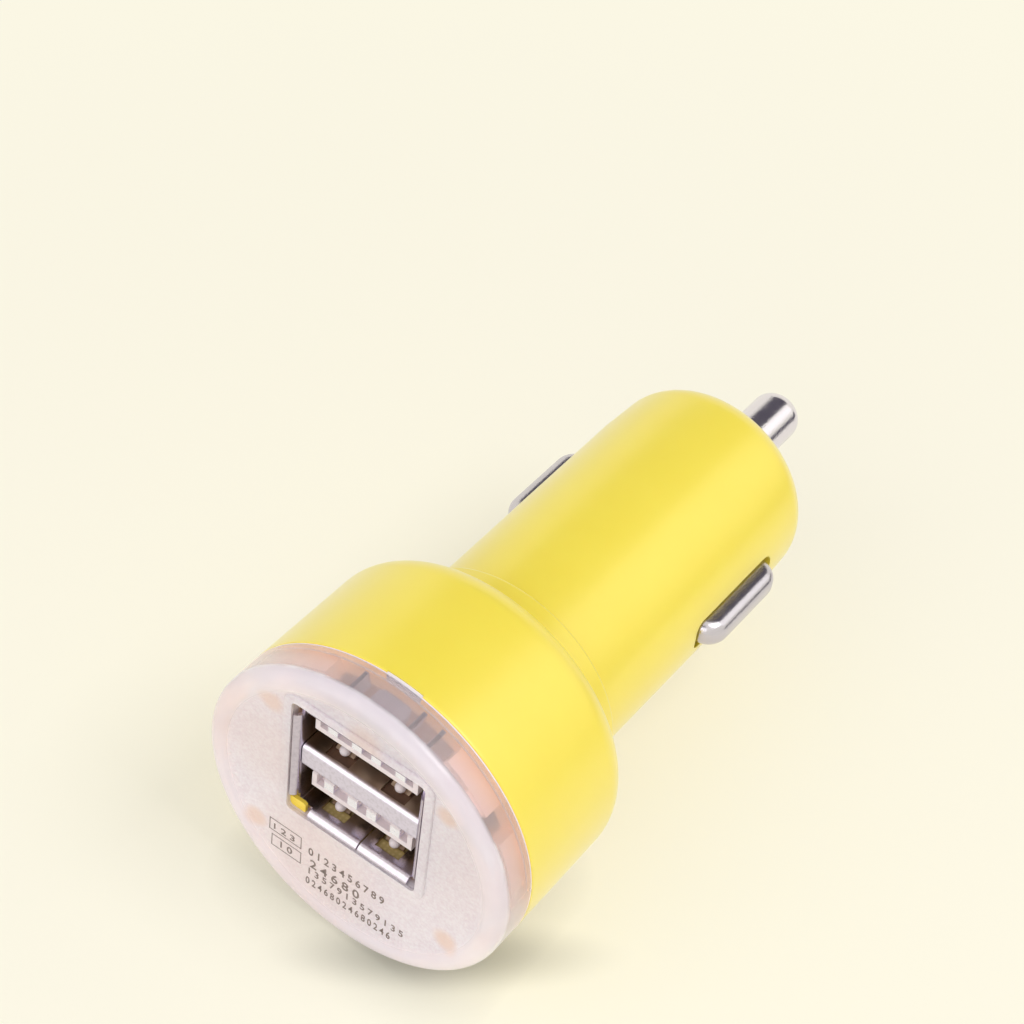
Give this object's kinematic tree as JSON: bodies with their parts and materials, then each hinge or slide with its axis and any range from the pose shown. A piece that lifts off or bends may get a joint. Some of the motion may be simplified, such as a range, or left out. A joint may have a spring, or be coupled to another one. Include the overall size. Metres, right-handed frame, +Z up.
{
  "type": "car usb charger plug",
  "caption": "Round car charger plug with stacked USB sockets in a frosted end cap, a barrel body with sprung side contacts and a sprung centre pin for a 12 V socket",
  "frame": {"origin": "on the plug's axis at the end of the root collar, where the rim of the socket stops it", "axes": "+Y along the plug from the USB face to the centre pin, +X across the USB ports, +Z up across the stack of ports"},
  "size_m": [0.0312, 0.0675, 0.0312],
  "materials": {
    "body_plastic": "glossy yellow ABS",
    "frosted_plastic": "frosted translucent",
    "tin_plate": "bright tin plate",
    "white_plastic": "satin",
    "terminal_metal": "plated",
    "board_laminate": "satin solder mask",
    "can_aluminium": "satin",
    "ferrite": "matte",
    "copper_wire": "lacquered",
    "black_resin": "matte",
    "ceramic": "satin",
    "led_resin": "clear",
    "spring_steel": "bright wire",
    "nickel_plate": "polished nickel plate"
  },
  "bodies": {
    "housing": {"body_shell": "body_plastic", "end_cap": "frosted_plastic", "usb_shell": "tin_plate", "usb_divider": "tin_plate", "usb_insulator": "white_plastic", "usb_upper_terminals": "terminal_metal", "usb_lower_terminals": "terminal_metal", "circuit_board": "board_laminate", "input_capacitor": "can_aluminium", "output_capacitor": "can_aluminium", "inductor_core": "ferrite", "inductor_winding": "copper_wire", "converter_chip": "black_resin", "chip_leads": "tin_plate", "rectifier_diode": "black_resin", "chip_resistors": "black_resin", "ceramic_capacitors": "ceramic", "indicator_led": "led_resin", "spring_plate": "terminal_metal", "pin_spring": "spring_steel", "right_contact_spring": "spring_steel", "left_contact_spring": "spring_steel"},
    "pin": {"center_pin": "nickel_plate"},
    "right_contact": {"right_ground_contact": "nickel_plate"},
    "left_contact": {"left_ground_contact": "nickel_plate"}
  },
  "joints": [
    {"name": "pin_press", "type": "slide", "parent": "housing", "child": "pin", "axis": [0, -1, 0], "range_m": [0, 0.004], "stiffness_N_per_m": 1200, "springref_m": -0.003, "deforming": ["pin_spring"]},
    {"name": "right_contact_press", "type": "slide", "parent": "housing", "child": "right_contact", "axis": [-1, 0, 0], "range_m": [0, 0.00175], "stiffness_N_per_m": 1500, "springref_m": -0.001, "deforming": ["right_contact_spring"]},
    {"name": "left_contact_press", "type": "slide", "parent": "housing", "child": "left_contact", "axis": [1, 0, 0], "range_m": [0, 0.00175], "stiffness_N_per_m": 1500, "springref_m": -0.001, "deforming": ["left_contact_spring"]}
  ]
}
